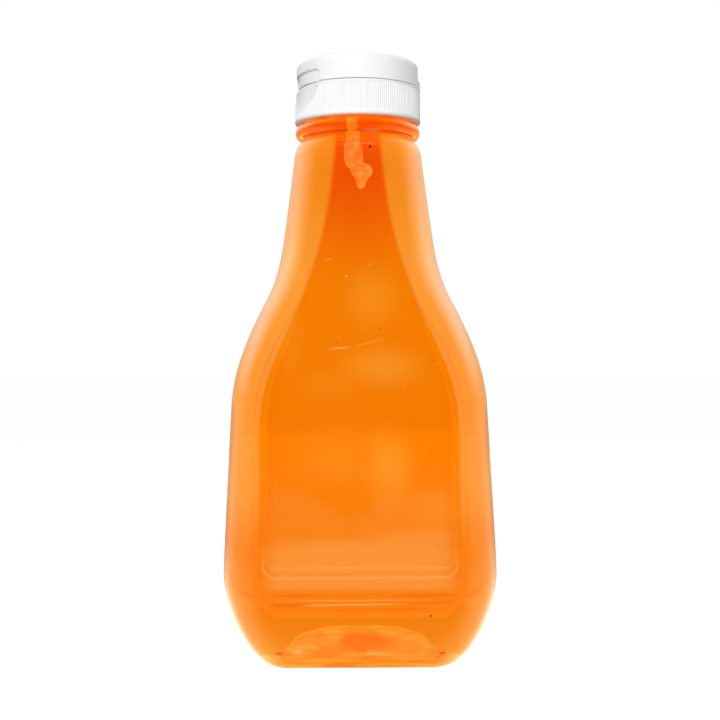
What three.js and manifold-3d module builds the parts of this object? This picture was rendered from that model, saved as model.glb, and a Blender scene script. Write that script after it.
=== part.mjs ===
// A clear plastic squeeze bottle full of honey, shut with a white flip-top cap.
// Millimetres, +Z up. The origin is the middle of the foot, on the surface that it stands on.
// The front of the bottle faces -Y, and its broad faces are the front and the back.
import * as THREE from 'three';
import { mergeVertices } from 'three/addons/utils/BufferGeometryUtils.js';
import Module from 'manifold-3d';

// Heights
const CREASE_Z = 27;            // where the side walls turn in towards the foot
const PANEL_LOW_Z = 33.4;       // lower edge of the label panels, before the crease's dip
const SHOULDER_LOW_Z = 82;      // where the sides start to curve in to the shoulder
const PANEL_FADE_Z = 88;        // the label panels fade out over the shoulder from here
const PANEL_HIGH_Z = 108;       // up to here
const FACE_ROUND_Z = 100;       // the flat faces start to round off from here
const NECK_ROUND_Z = 165;       // and every section above this is a circle
const SHOULDER_TOP_Z = 162;     // where the shoulder rounds over to the neck
const MOUTH_Z = 181.3;
const HONEY_TOP_Z = 178;
const CAP_FOOT_Z = 171.9;
const PARTING_Z = 183.3;        // the line between the skirt and the lid
const CAP_TOP_Z = 191.5;

// Body
const WALL = 0.8;
const GAP = 0.3;                // kept between pieces that touch
const FOOT_HALF_WIDTH = 30.5;
const FOOT_HALF_DEPTH = 19;
const FOOT_HALF_FLAT = 22;
const WIDEST_HALF_WIDTH = 44.05;
const DEEPEST_HALF_DEPTH = 25.5;
const CREASE_HALF_FLAT = 30.5;
const HEEL_POWER = 1.5;         // fullness of the curve from the foot to the crease
const CREASE_SAG = 4.5;         // how far the crease dips towards the middle of the front and back
const SAG_FADE_Z = 70;          // the dip has died out at this height
const CORNER_POWER = 2.2;       // fullness of the corners between the faces and the sides
const PANEL_MARGIN = 0.6;       // from the edge of the flat face to the label panel
const PANEL_STEP = 1.2;         // width of the step down to the panel
const PANEL_DEPTH = 0.3;
const PANEL_CORNER = 4;         // radius of the panel's lower corners

// Each station of an upward profile is [height, value, slope]
const HALF_WIDTH = [
  [CREASE_Z, WIDEST_HALF_WIDTH, 0],
  [40, 43.55, -0.053],
  [SHOULDER_LOW_Z, 41.2, -0.055],
  [115, 29.8, -0.53],
  [135, 24.1, -0.145],
  [SHOULDER_TOP_Z, 20.55, -0.12],
];
const HALF_DEPTH = [
  [CREASE_Z, DEEPEST_HALF_DEPTH, 0],
  [SHOULDER_LOW_Z, 25.2, -0.02],
  [115, 23.8, -0.07],
  [140, 22.1, -0.07],
  [SHOULDER_TOP_Z, 20.55, -0.1],
];
const HALF_FLAT = [
  [CREASE_Z, CREASE_HALF_FLAT, 0],
  [55, 30.3, -0.03],
  [84, 29.2, -0.2],
  [97, 25, -0.44],
  [118, 15.9, -0.36],
  [140, 9.7, -0.2],
  [SHOULDER_TOP_Z, 6.8, -0.1],
];

// Neck and its transfer ring, as [radius, height] going up the outside
const NECK_RADIUS = 17.5;
const SHOULDER_ROUND = [[20.1, 163.6], [19.5, 164.9], [18.7, 165.8], [17.9, 166.4]];
const RING = [[18.5, 166.9], [19.5, 167.4], [20.1, 168.5], [20.15, 169.7], [19.8, 170.7], [19.1, 171.2]];
const MOUTH_LAND = 0.4;         // the rounded edge of the mouth
const BORE_RADIUS = 16;
const BORE_ENTRY_Z = 157;       // the inside leaves the shape of the outside here
const BORE_ENTRY = [[19.2, 160], [18.4, 162.6], [17, 164.6], [BORE_RADIUS, 166.5]];

// Foot ring and push-up going out from the middle, as [share of the foot outline, height, and how
// far the inside is set out from the outside there, as a share of the wall]
const PUSH_UP_TOP = 11;
const PUSH_UP = [
  [0.14, 11.8, 0],
  [0.35, 11.4, 0],
  [0.6, 9.8, 0.2],
  [0.78, 5.5, 0.6],
  [0.88, 0, 0.6],
  [1, 0, -1],
];

// Cap
const SKIRT_RADIUS = 20.2;
const SKIRT_FOOT_RADIUS = 20.4;  // the skirt is a little wider at its foot
const SKIRT_BORE = 18.4;
const DECK = 1.1;
const LID_RADIUS = 19.75;
const LID_ROUND = 1.8;
const FOOT_CHAMFER = 0.9;
const THUMB_ANGLE = 203;        // degrees from +X: the thumb recess, left of the front
const HINGE_ANGLE = THUMB_ANGLE - 180;
const THUMB_HALF_ANGLE = 29;
const THUMB_DROP = 8.1;         // how far the scoop runs down the skirt
const SCOOP_DEPTH = 0.9;
const NOTCH_DEPTH = 0.6;        // of the recess in the lid
const NOTCH_TOP_Z = 187;
const NOTCH_EDGE = 0.2;         // half the height of the slope at the notch's top
const STRAP_HALF_ANGLE = 13;
const STRAP_INNER = 19.3;
const STRAP_OUTER = 20.75;
const STRAP_LOW_Z = 179;
const STRAP_HIGH_Z = 187;

// Mesh steps
const CORNER_STEPS = 6;
const FACE_STEPS = 2;
const HEEL_STEPS = 5;
const MID_WALL_Z = 58;
const SHOULDER_STEP = 7;
const CAP_STEPS = 48;
const SCOOP_STEPS = 4;
const LID_ROUND_STEPS = 3;
const THUMB_EDGE_SHIFTS = [-1.4, 0.6];  // degrees inside and outside each side of the recess
const THUMB_EDGE_CLEAR = 1.5;           // degrees kept free of other columns round them
const MERGE_TOLERANCE = 1e-4;
const ROUND_FACE_ANGLE = 71;    // where a round section's columns pass from corner to face

const radians = THREE.MathUtils.degToRad;
const lerp = THREE.MathUtils.lerp;
const smoothstep = THREE.MathUtils.smoothstep;

// A smooth profile through stations of [height, value, slope]
function profile(stations) {
  return (z) => {
    let i = 0;
    while (i < stations.length - 2 && z > stations[i + 1][0]) i += 1;
    const [z0, v0, m0] = stations[i];
    const [z1, v1, m1] = stations[i + 1];
    const span = z1 - z0;
    const t = THREE.MathUtils.clamp((z - z0) / span, 0, 1);
    const rise = t * t * (3 - 2 * t);
    const lead = t * (1 - t) * (1 - t) * span * m0;
    const trail = t * t * (t - 1) * span * m1;
    return v0 + (v1 - v0) * rise + lead + trail;
  };
}

const halfWidthAt = profile(HALF_WIDTH);
const halfDepthAt = profile(HALF_DEPTH);
const halfFlatAt = profile(HALF_FLAT);

// How deep the label panel is at a height, and how far its lower corners pull its sides in
function panelDepthAt(z) {
  const low = smoothstep(z, PANEL_LOW_Z, PANEL_LOW_Z + PANEL_STEP);
  const high = 1 - smoothstep(z, PANEL_FADE_Z, PANEL_HIGH_Z);
  return PANEL_DEPTH * low * high;
}

function panelPullAt(z) {
  const rise = THREE.MathUtils.clamp(z - PANEL_LOW_Z, 0, PANEL_CORNER);
  return PANEL_CORNER - Math.sqrt(PANEL_CORNER ** 2 - (PANEL_CORNER - rise) ** 2);
}

// One row of the bottle's surface, drawn in by inset
function bodyRow(z, inset = 0) {
  return {
    z,
    halfWidth: halfWidthAt(z) - inset,
    halfDepth: halfDepthAt(z) - inset,
    halfFlat: halfFlatAt(z),
    roundness: smoothstep(z, FACE_ROUND_Z, NECK_ROUND_Z),
    panelDepth: panelDepthAt(z),
    panelPull: panelPullAt(z),
    sag: CREASE_SAG * (1 - smoothstep(z, CREASE_Z, SAG_FADE_Z)),
  };
}

function heelRow(angle, inset = 0) {
  const power = 2 / HEEL_POWER;
  const drop = Math.sin(angle) ** power;
  const reach = Math.max(Math.cos(angle), 0) ** power;
  return {
    z: CREASE_Z - (CREASE_Z - inset) * drop,
    halfWidth: lerp(FOOT_HALF_WIDTH, WIDEST_HALF_WIDTH, reach) - inset,
    halfDepth: lerp(FOOT_HALF_DEPTH, DEEPEST_HALF_DEPTH, reach) - inset,
    halfFlat: lerp(FOOT_HALF_FLAT, CREASE_HALF_FLAT, reach),
    roundness: 0,
    panelDepth: 0,
    panelPull: 0,
    sag: CREASE_SAG * (1 - drop),
  };
}

function roundRow(radius, z) {
  return {
    z,
    halfWidth: radius,
    halfDepth: radius,
    halfFlat: 0,
    roundness: 1,
    panelDepth: 0,
    panelPull: 0,
    sag: 0,
  };
}

// A quarter of a section, from the side (+X) to the middle of the face (+Y), as [x, y] pairs
function quarterPoints(row) {
  const points = [];
  const corner = row.halfWidth - row.halfFlat;
  const power = 2 / CORNER_POWER;
  const panelEdge = row.halfFlat - PANEL_MARGIN - row.panelPull;
  const faceMarks = [panelEdge, panelEdge - PANEL_STEP];
  for (let i = 1; i <= FACE_STEPS; i += 1) {
    faceMarks.push((panelEdge - PANEL_STEP) * (1 - i / FACE_STEPS));
  }
  const columns = CORNER_STEPS + faceMarks.length;
  for (let i = 0; i <= columns; i += 1) {
    const onCorner = i <= CORNER_STEPS;
    const cornerAngle = radians(90 * i / CORNER_STEPS);
    const faceShare = (i - CORNER_STEPS) / faceMarks.length;
    const flat = onCorner
      ? [row.halfFlat + corner * Math.abs(Math.cos(cornerAngle)) ** power,
        row.halfDepth * Math.sin(cornerAngle) ** power]
      : [faceMarks[i - CORNER_STEPS - 1],
        row.halfDepth - (i - CORNER_STEPS > 1 ? row.panelDepth : 0)];
    const roundAngle = radians(onCorner
      ? ROUND_FACE_ANGLE * i / CORNER_STEPS
      : lerp(ROUND_FACE_ANGLE, 90, faceShare));
    points.push([
      lerp(flat[0], row.halfWidth * Math.cos(roundAngle), row.roundness),
      lerp(flat[1], row.halfDepth * Math.sin(roundAngle), row.roundness),
    ]);
  }
  return points;
}

// The whole section, turning from +X towards +Y
function sectionRing(row) {
  const quarter = quarterPoints(row);
  const last = quarter.length - 1;
  const outline = [];
  for (let i = 0; i < last; i += 1) outline.push(quarter[i]);
  for (let i = last; i > 0; i -= 1) outline.push([-quarter[i][0], quarter[i][1]]);
  for (let i = 0; i < last; i += 1) outline.push([-quarter[i][0], -quarter[i][1]]);
  for (let i = last; i > 0; i -= 1) outline.push([quarter[i][0], -quarter[i][1]]);
  return outline.map(([x, y]) => {
    const towardsFace = (y / row.halfDepth) ** 2;
    return new THREE.Vector3(x, y, row.z - row.sag * towardsFace);
  });
}

// A closed surface from one pole over its rings to the other pole
function loft(startPole, rings, endPole) {
  const around = rings[0].length;
  const vertices = [startPole, ...rings.flat(), endPole];
  const endIndex = vertices.length - 1;
  const at = (ring, column) => 1 + ring * around + (column % around);
  const index = [];
  for (let column = 0; column < around; column += 1) {
    index.push(0, at(0, column + 1), at(0, column));
    for (let ring = 0; ring < rings.length - 1; ring += 1) {
      const a = at(ring, column);
      const b = at(ring, column + 1);
      const c = at(ring + 1, column + 1);
      const d = at(ring + 1, column);
      index.push(a, b, c, a, c, d);
    }
    index.push(endIndex, at(rings.length - 1, column), at(rings.length - 1, column + 1));
  }
  const geometry = new THREE.BufferGeometry().setFromPoints(vertices);
  geometry.setIndex(index);
  geometry.computeVertexNormals();
  return geometry;
}

// Rows from the foot's middle up to the top of the shoulder, drawn in by inset
function bodyRows(inset) {
  const foot = heelRow(Math.PI / 2);
  const rows = PUSH_UP.map(([share, z, spread]) => ({
    ...foot,
    z: z + inset,
    halfWidth: foot.halfWidth * share + inset * spread,
    halfDepth: foot.halfDepth * share + inset * spread,
    halfFlat: foot.halfFlat * share,
  }));
  for (let i = HEEL_STEPS - 1; i >= 0; i -= 1) {
    rows.push(heelRow(radians(90 * i / HEEL_STEPS), inset));
  }
  const wallRows = [PANEL_LOW_Z, PANEL_LOW_Z + PANEL_STEP, PANEL_LOW_Z + PANEL_CORNER, MID_WALL_Z];
  for (const z of wallRows) rows.push(bodyRow(z, inset));
  for (let z = SHOULDER_LOW_Z; z < BORE_ENTRY_Z; z += SHOULDER_STEP) {
    rows.push(bodyRow(z, inset));
  }
  return rows;
}

function bottleGeometry() {
  const outside = [
    ...bodyRows(0),
    bodyRow(SHOULDER_TOP_Z),
    ...SHOULDER_ROUND.map(([radius, z]) => roundRow(radius, z)),
    ...RING.map(([radius, z]) => roundRow(radius, z)),
    roundRow(NECK_RADIUS, CAP_FOOT_Z - GAP),
    roundRow(NECK_RADIUS, MOUTH_Z - MOUTH_LAND),
    roundRow(NECK_RADIUS - MOUTH_LAND, MOUTH_Z),
  ];
  const inside = [
    ...bodyRows(WALL),
    ...BORE_ENTRY.map(([radius, z]) => roundRow(radius, z)),
    roundRow(BORE_RADIUS, MOUTH_Z),
  ].reverse();
  return loft(
    new THREE.Vector3(0, 0, PUSH_UP_TOP),
    [...outside, ...inside].map(sectionRing),
    new THREE.Vector3(0, 0, PUSH_UP_TOP + WALL),
  );
}

function honeyGeometry() {
  const inset = WALL + GAP;
  const rows = [
    ...bodyRows(inset),
    ...BORE_ENTRY.map(([radius, z]) => roundRow(radius - GAP, z)),
    roundRow(BORE_RADIUS - GAP, HONEY_TOP_Z),
  ];
  return loft(
    new THREE.Vector3(0, 0, PUSH_UP_TOP + inset),
    rows.map(sectionRing),
    new THREE.Vector3(0, 0, HONEY_TOP_Z),
  );
}

// Angles round the cap, with a close pair at each side of the thumb recess
function capAngles() {
  const edges = [];
  for (const side of [-1, 1]) {
    for (const shift of THUMB_EDGE_SHIFTS) {
      edges.push(THUMB_ANGLE + side * (THUMB_HALF_ANGLE + shift));
    }
  }
  const angles = [...edges];
  const step = 360 / CAP_STEPS;
  for (let angle = 0; angle < 360; angle += step) {
    const clear = edges.every((edge) => Math.abs(edge - angle) > THUMB_EDGE_CLEAR);
    if (clear) angles.push(angle);
  }
  return angles.sort((a, b) => a - b);
}

// A ring of the cap at one height; cut(angle, z) says how far the thumb recess draws it in
function capRing(radius, z, cut = () => 0) {
  return capAngles().map((angle) => {
    const reach = radius - cut(angle, z);
    return new THREE.Vector3(reach * Math.cos(radians(angle)), reach * Math.sin(radians(angle)), z);
  });
}

function scoopCut(angle, z) {
  const across = (angle - THUMB_ANGLE) / THUMB_HALF_ANGLE;
  const down = (PARTING_Z - z) / THUMB_DROP;
  return SCOOP_DEPTH * Math.sqrt(Math.max(0, 1 - across ** 2 - down ** 2));
}

function notchCut(angle, z) {
  const inside = Math.abs(angle - THUMB_ANGLE) < THUMB_HALF_ANGLE;
  return inside && z < NOTCH_TOP_Z ? NOTCH_DEPTH : 0;
}

// The hinge strap, or with a grown margin the pocket that the lid leaves for it
function strapGeometry(grow = 0) {
  const half = radians(STRAP_HALF_ANGLE) + grow / STRAP_OUTER;
  const middle = radians(HINGE_ANGLE);
  const shape = new THREE.Shape();
  shape.absarc(0, 0, STRAP_OUTER + 4 * grow, middle - half, middle + half, false);
  shape.absarc(0, 0, STRAP_INNER - grow, middle + half, middle - half, true);
  const height = STRAP_HIGH_Z - STRAP_LOW_Z + grow;
  const geometry = new THREE.ExtrudeGeometry(shape, { depth: height, bevelEnabled: false, curveSegments: 6 });
  geometry.translate(0, 0, STRAP_LOW_Z);
  return geometry;
}

const wasm = await Module();
wasm.setup();

function solidOf(geometry) {
  const bare = geometry.clone();
  bare.deleteAttribute('normal');
  bare.deleteAttribute('uv');
  const merged = mergeVertices(bare, MERGE_TOLERANCE);
  return new wasm.Manifold(new wasm.Mesh({
    numProp: 3,
    vertProperties: new Float32Array(merged.attributes.position.array),
    triVerts: new Uint32Array(merged.index.array),
  }));
}

function geometryOf(solid) {
  const mesh = solid.getMesh();
  const geometry = new THREE.BufferGeometry();
  geometry.setAttribute('position', new THREE.BufferAttribute(mesh.vertProperties, 3));
  geometry.setIndex(new THREE.BufferAttribute(mesh.triVerts, 1));
  geometry.computeVertexNormals();
  return geometry;
}

function skirtGeometry() {
  const topZ = PARTING_Z - GAP;
  const deckLowZ = topZ - DECK;
  const rings = [
    capRing(SKIRT_BORE, deckLowZ),
    capRing(SKIRT_BORE, CAP_FOOT_Z),
    capRing(SKIRT_FOOT_RADIUS - FOOT_CHAMFER, CAP_FOOT_Z),
    capRing(SKIRT_FOOT_RADIUS, CAP_FOOT_Z + FOOT_CHAMFER),
  ];
  for (let i = SCOOP_STEPS; i >= 0; i -= 1) {
    const z = topZ - (THUMB_DROP - GAP) * i / SCOOP_STEPS;
    const rise = (z - CAP_FOOT_Z) / (topZ - CAP_FOOT_Z);
    rings.push(capRing(lerp(SKIRT_FOOT_RADIUS, SKIRT_RADIUS, rise), z, scoopCut));
  }
  const shell = loft(new THREE.Vector3(0, 0, deckLowZ), rings, new THREE.Vector3(0, 0, topZ));
  return geometryOf(solidOf(shell).add(solidOf(strapGeometry())));
}

function lidGeometry() {
  const rings = [];
  for (const z of [PARTING_Z, NOTCH_TOP_Z - NOTCH_EDGE, NOTCH_TOP_Z + NOTCH_EDGE]) {
    rings.push(capRing(LID_RADIUS, z, notchCut));
  }
  for (let i = 0; i <= LID_ROUND_STEPS; i += 1) {
    const angle = radians(90 * i / LID_ROUND_STEPS);
    const radius = LID_RADIUS - LID_ROUND * (1 - Math.cos(angle));
    rings.push(capRing(radius, CAP_TOP_Z - LID_ROUND * (1 - Math.sin(angle))));
  }
  const lid = loft(new THREE.Vector3(0, 0, PARTING_Z), rings, new THREE.Vector3(0, 0, CAP_TOP_Z));
  return geometryOf(solidOf(lid).subtract(solidOf(strapGeometry(GAP))));
}

function finish(color, roughness, extra = {}) {
  return new THREE.MeshStandardMaterial({ color, roughness, metalness: 0, ...extra });
}

function piece(name, geometry, material) {
  const mesh = new THREE.Mesh(geometry, material);
  mesh.name = name;
  return mesh;
}

const clearPlastic = finish(0xfbb56a, 0.05, { transparent: true, opacity: 0.35 });
const honeyFill = finish(0xf67a05, 0.1);
const whitePlastic = finish(0xf4f4f2, 0.3);

const group = new THREE.Group();
group.add(
  piece('bottle', bottleGeometry(), clearPlastic),
  piece('honey', honeyGeometry(), honeyFill),
  piece('cap_skirt', skirtGeometry(), whitePlastic),
  piece('cap_lid', lidGeometry(), whitePlastic),
);

export default group;
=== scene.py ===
"""A clear plastic squeeze bottle full of honey, shut with a white flip-top cap, on a pale floor.

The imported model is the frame. The bottle's wall, the honey, the cap's skirt and its lid are
modelled again here, finely, in the places that the frame gives, and get their finishes. The air
bubble, the specks and the cap's hinge straps are added to them.
"""

import math
import random

import bmesh
import bpy
from bpy.props import FloatProperty, FloatVectorProperty, IntProperty, PointerProperty
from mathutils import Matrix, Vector


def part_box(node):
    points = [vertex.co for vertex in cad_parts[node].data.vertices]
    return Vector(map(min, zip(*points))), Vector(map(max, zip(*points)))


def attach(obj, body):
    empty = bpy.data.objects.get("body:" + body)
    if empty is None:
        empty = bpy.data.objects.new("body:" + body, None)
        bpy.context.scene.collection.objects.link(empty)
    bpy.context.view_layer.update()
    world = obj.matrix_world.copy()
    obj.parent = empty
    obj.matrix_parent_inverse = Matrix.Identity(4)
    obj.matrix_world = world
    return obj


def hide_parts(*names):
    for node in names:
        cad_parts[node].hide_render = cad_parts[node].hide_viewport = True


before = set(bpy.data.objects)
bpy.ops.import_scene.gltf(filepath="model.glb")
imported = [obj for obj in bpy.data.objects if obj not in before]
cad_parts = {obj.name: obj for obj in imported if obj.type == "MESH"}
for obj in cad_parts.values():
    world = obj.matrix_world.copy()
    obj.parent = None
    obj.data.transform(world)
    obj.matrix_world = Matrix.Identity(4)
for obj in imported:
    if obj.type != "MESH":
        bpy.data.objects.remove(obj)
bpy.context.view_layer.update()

bl_info = {
    "name": "Honey Squeeze Bottle",
    "version": (1, 0, 0),
    "blender": (4, 5, 0),
    "location": "3D View > Sidebar > Bottle",
    "description": "Models a full squeeze bottle of honey with its flip-top cap, piece by piece",
    "category": "Add Mesh",
}

MM = 0.001
BOTTLE_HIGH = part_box("bottle")[1]
LID_LOW, LID_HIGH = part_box("cap_lid")

# Heights in millimetres
CREASE_Z = 27
PANEL_LOW_Z = 33.4
PANEL_FADE_Z = 88
PANEL_HIGH_Z = 108
FACE_ROUND_Z = 100
NECK_ROUND_Z = 165
SHOULDER_TOP_Z = 162
MOUTH_Z = BOTTLE_HIGH.z / MM
HONEY_TOP_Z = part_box("honey")[1].z / MM
CAP_FOOT_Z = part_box("cap_skirt")[0].z / MM
PARTING_Z = LID_LOW.z / MM
CAP_TOP_Z = LID_HIGH.z / MM

# Body, in millimetres
FOOT_HALF_WIDTH = 30.5
FOOT_HALF_DEPTH = 19
FOOT_HALF_FLAT = 22
WIDEST_HALF_WIDTH = BOTTLE_HIGH.x / MM
DEEPEST_HALF_DEPTH = BOTTLE_HIGH.y / MM
CREASE_HALF_FLAT = 30.5
HEEL_POWER = 1.5
CREASE_SAG = 4.5
SAG_FADE_Z = 70
CORNER_POWER = 2.2
PANEL_MARGIN = 0.6
PANEL_STEP = 1.2
PANEL_DEPTH = 0.12
PANEL_CORNER = 4
ROUND_FACE_ANGLE = 71

# Each station of an upward profile is (height, value, slope)
HALF_WIDTH = [
    (CREASE_Z, WIDEST_HALF_WIDTH, 0),
    (40, 43.55, -0.053),
    (82, 41.2, -0.055),
    (115, 29.8, -0.53),
    (135, 24.1, -0.145),
    (SHOULDER_TOP_Z, 20.55, -0.12),
]
HALF_DEPTH = [
    (CREASE_Z, DEEPEST_HALF_DEPTH, 0),
    (82, 25.2, -0.02),
    (115, 23.8, -0.07),
    (140, 22.1, -0.07),
    (SHOULDER_TOP_Z, 20.55, -0.1),
]
HALF_FLAT = [
    (CREASE_Z, CREASE_HALF_FLAT, 0),
    (55, 30.3, -0.03),
    (84, 29.2, -0.2),
    (97, 25, -0.44),
    (118, 15.9, -0.36),
    (140, 9.7, -0.2),
    (SHOULDER_TOP_Z, 6.8, -0.1),
]

# Neck and transfer ring, as (radius, height) going up the outside
SHOULDER_ROUND = [(20.1, 163.6), (19.5, 164.9), (18.7, 165.8), (17.9, 166.4)]
RING = [(18.5, 166.9), (19.5, 167.4), (20.1, 168.5), (20.15, 169.7), (19.8, 170.7), (19.1, 171.2)]
NECK_RADIUS = 17.5
NECK_TOP = [(NECK_RADIUS, 171.6), (NECK_RADIUS, 180.9), (17.1, MOUTH_Z)]
NECK_ROWS = (158.5, 160, 161, SHOULDER_TOP_Z)
BORE_RADIUS = 16
BORE_ENTRY_Z = 157
BORE_ENTRY = [(19.2, 160), (18.4, 162.6), (17, 164.6), (BORE_RADIUS, 166.5)]

# Push-up under the foot going out from the middle, as (share of the foot outline, height, and how
# far the inside is set out from the outside there, as a share of the wall)
PUSH_UP = [
    (0, 11, 0), (0.14, 11.8, 0), (0.35, 11.4, 0), (0.6, 9.8, 0.2),
    (0.78, 5.5, 0.6), (0.88, 0, 0.6), (1, 0, -1),
]
PUSH_UP_MIDDLE = 0.0005

# Cap, in millimetres and degrees from +X
SKIRT_RADIUS = 20.2
SKIRT_FOOT_RADIUS = 20.4
SKIRT_BORE = 18.4
DECK = 1.1
LID_RADIUS = 19.75
LID_ROUND = 1.8
FOOT_CHAMFER = 0.9
THUMB_ANGLE = 203
HINGE_ANGLE = THUMB_ANGLE - 180
THUMB_HALF_ANGLE = 29
THUMB_DROP = 8.1
SCOOP_DEPTH = 1.3
NOTCH_DEPTH = 0.8
NOTCH_TOP_Z = 187
STRAP_HALF_ANGLE = 13
STRAP_OUTER = 20.75
STRAP_LOW_Z = 179
STRAP_HIGH_Z = 187


# Sizes and colours that a user would change

class BottleSizes(bpy.types.PropertyGroup):
    """The blown bottle and what fills it."""

    wall: FloatProperty(
        name="Wall", description="Thickness of the blown wall",
        default=0.8 * MM, min=0.3 * MM, max=2 * MM, unit="LENGTH",
    )
    fill_reach: FloatProperty(
        name="Fill reach", description="How far the honey reaches into the wall, so that no air shows",
        default=0.25 * MM, min=0, max=0.5 * MM, unit="LENGTH",
    )
    corner_steps: IntProperty(
        name="Corner steps", description="Columns of faces round each corner of the body",
        default=40, min=6,
    )
    row_height: FloatProperty(
        name="Row height", description="Height of the rows of faces up the body",
        default=2.4 * MM, min=0.5 * MM, unit="LENGTH",
    )


class CapSizes(bpy.types.PropertyGroup):
    """The flip-top cap."""

    ribs: IntProperty(name="Ribs", description="Grip ribs round the whole skirt", default=180, min=20)
    rib_depth: FloatProperty(
        name="Rib depth", description="Depth of the grooves between the ribs",
        default=0.18 * MM, min=0, unit="LENGTH",
    )
    smooth_band: FloatProperty(
        name="Smooth band", description="Height of the plain band above the ribs",
        default=0.6 * MM, min=0, unit="LENGTH",
    )


class Finishes(bpy.types.PropertyGroup):
    """Colours and clearness."""

    honey_clear: FloatVectorProperty(
        name="Honey", description="Share of each colour that the honey lets by",
        subtype="COLOR", size=3, default=(0.995, 0.79, 0.0), min=0, max=1,
    )
    honey_density: FloatProperty(
        name="Honey density", description="Absorption for each metre, for a colour that the honey stops",
        default=146.0, min=0,
    )
    wall_tint: FloatVectorProperty(
        name="Clear plastic", description="Tint of the clear wall",
        subtype="COLOR", size=3, default=(0.995, 0.99, 0.98), min=0, max=1,
    )
    cap_white: FloatVectorProperty(
        name="Cap white", description="Colour of the moulded cap",
        subtype="COLOR", size=3, default=(0.86, 0.86, 0.855), min=0, max=1,
    )


class StageSizes(bpy.types.PropertyGroup):
    """Camera place and lens."""

    camera_distance: FloatProperty(
        name="Camera distance", description="From the camera to the bottle's axis",
        default=0.407, unit="LENGTH",
    )
    camera_height: FloatProperty(
        name="Camera height", description="Height of the camera above the floor",
        default=0.0956, unit="LENGTH",
    )
    lens: FloatProperty(name="Lens", description="Focal length in millimetres", default=62.445)


class BottleScene(bpy.types.PropertyGroup):
    """All the settings of this bottle."""

    body: PointerProperty(name="Body", description="Sizes of the bottle", type=BottleSizes)
    cap: PointerProperty(name="Cap", description="Sizes of the cap", type=CapSizes)
    finish: PointerProperty(name="Finish", description="Colours", type=Finishes)
    stage: PointerProperty(name="Stage", description="Camera and light", type=StageSizes)


def settings():
    return bpy.context.scene.squeeze_bottle


# Shader sums written as expressions

def maths(operation, swapped=False):
    """An operator that adds a Math node."""
    def method(self, other):
        return self.sum(operation, other, self) if swapped else self.sum(operation, self, other)
    return method


class Wire:
    """A socket in a node tree that adds Math nodes when it is used in a sum."""

    def __init__(self, tree, socket):
        self.tree = tree
        self.socket = socket

    __add__ = __radd__ = maths("ADD")
    __sub__ = maths("SUBTRACT")
    __rsub__ = maths("SUBTRACT", swapped=True)
    __mul__ = __rmul__ = maths("MULTIPLY")
    __truediv__ = maths("DIVIDE")

    def sum(self, operation, first, second):
        return add_node(self.tree, "ShaderNodeMath", {"operation": operation}, {0: first, 1: second})

    def size(self):
        """Its value without the sign."""
        return self.sum("ABSOLUTE", self, 0)

    def between(self, low, high):
        """0 below low, 1 above high, and smooth between them."""
        values = {"Value": self, "From Min": low, "From Max": high}
        setup = {"interpolation_type": "SMOOTHSTEP"}
        return add_node(self.tree, "ShaderNodeMapRange", setup, values, "Result")


def feed(tree, socket, value):
    """Links a wire to a socket, or sets the socket's own value."""
    if isinstance(value, Wire):
        tree.links.new(value.socket, socket)
    else:
        socket.default_value = value


def add_node(tree, kind, setup=None, inputs=None, output=0):
    """A node of a kind: its settings first, then the values or links of its sockets."""
    node = tree.nodes.new(kind)
    for key, value in (setup or {}).items():
        setattr(node, key, value)
    for key, value in (inputs or {}).items():
        feed(tree, node.inputs[key], value)
    return Wire(tree, node.outputs[output])


def blend(tree, factor, first, second):
    """A colour between two others."""
    node = tree.nodes.new("ShaderNodeMix")
    node.data_type = "RGBA"
    feed(tree, next(s for s in node.inputs if s.name == "Factor" and s.type == "VALUE"), factor)
    for name, value in (("A", first), ("B", second)):
        socket = next(s for s in node.inputs if s.name == name and s.type == "RGBA")
        feed(tree, socket, value if isinstance(value, Wire) else (*value[:3], 1.0))
    return Wire(tree, next(s for s in node.outputs if s.type == "RGBA"))


class Finish:
    """A material with one Principled shader, and shortcuts for its patterns."""

    def __init__(self, name, **sockets):
        self.material = bpy.data.materials.new(name)
        self.material.use_nodes = True
        self.tree = self.material.node_tree
        self.shader = self.tree.nodes["Principled BSDF"]
        self.output = self.tree.nodes["Material Output"]
        self.place = self.node("ShaderNodeTexCoord", output="Object")
        self.set(**sockets)

    def node(self, kind, setup=None, inputs=None, output=0):
        return add_node(self.tree, kind, setup, inputs, output)

    def set(self, **sockets):
        for key, value in sockets.items():
            feed(self.tree, self.shader.inputs[key.replace("_", " ")], value)

    def glow(self, shade):
        """Gives the surface a weak light of its own."""
        self.set(Emission_Color=shade, Emission_Strength=1.0)

    def stretched(self, scale):
        return self.node("ShaderNodeMapping", None, {"Vector": self.place, "Scale": scale})

    def noise(self, scale, detail=2.0, roughness=0.5, vector=None):
        values = {"Vector": vector or self.place, "Scale": scale, "Detail": detail, "Roughness": roughness}
        return self.node("ShaderNodeTexNoise", None, values, "Fac")

    def axis(self, name):
        """One coordinate, in metres."""
        return self.node("ShaderNodeSeparateXYZ", None, {"Vector": self.place}, name)

    def axes(self):
        """The three coordinates, in millimetres."""
        return [self.axis(name) * (1 / MM) for name in "XYZ"]

    def painted(self, name):
        """A number that the piece carries on its vertices."""
        return self.node("ShaderNodeAttribute", {"attribute_name": name}, None, "Fac")

    def blend(self, factor, first, second):
        return blend(self.tree, factor, first, second)

    def bump(self, height, distance, strength):
        values = {"Height": height, "Distance": distance, "Strength": strength}
        return self.node("ShaderNodeBump", None, values, "Normal")


# The bottle's own shape

def smoothstep(value, low, high):
    share = min(max((value - low) / (high - low), 0.0), 1.0)
    return share * share * (3 - 2 * share)


def lerp(first, second, share):
    return first + (second - first) * share


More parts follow.
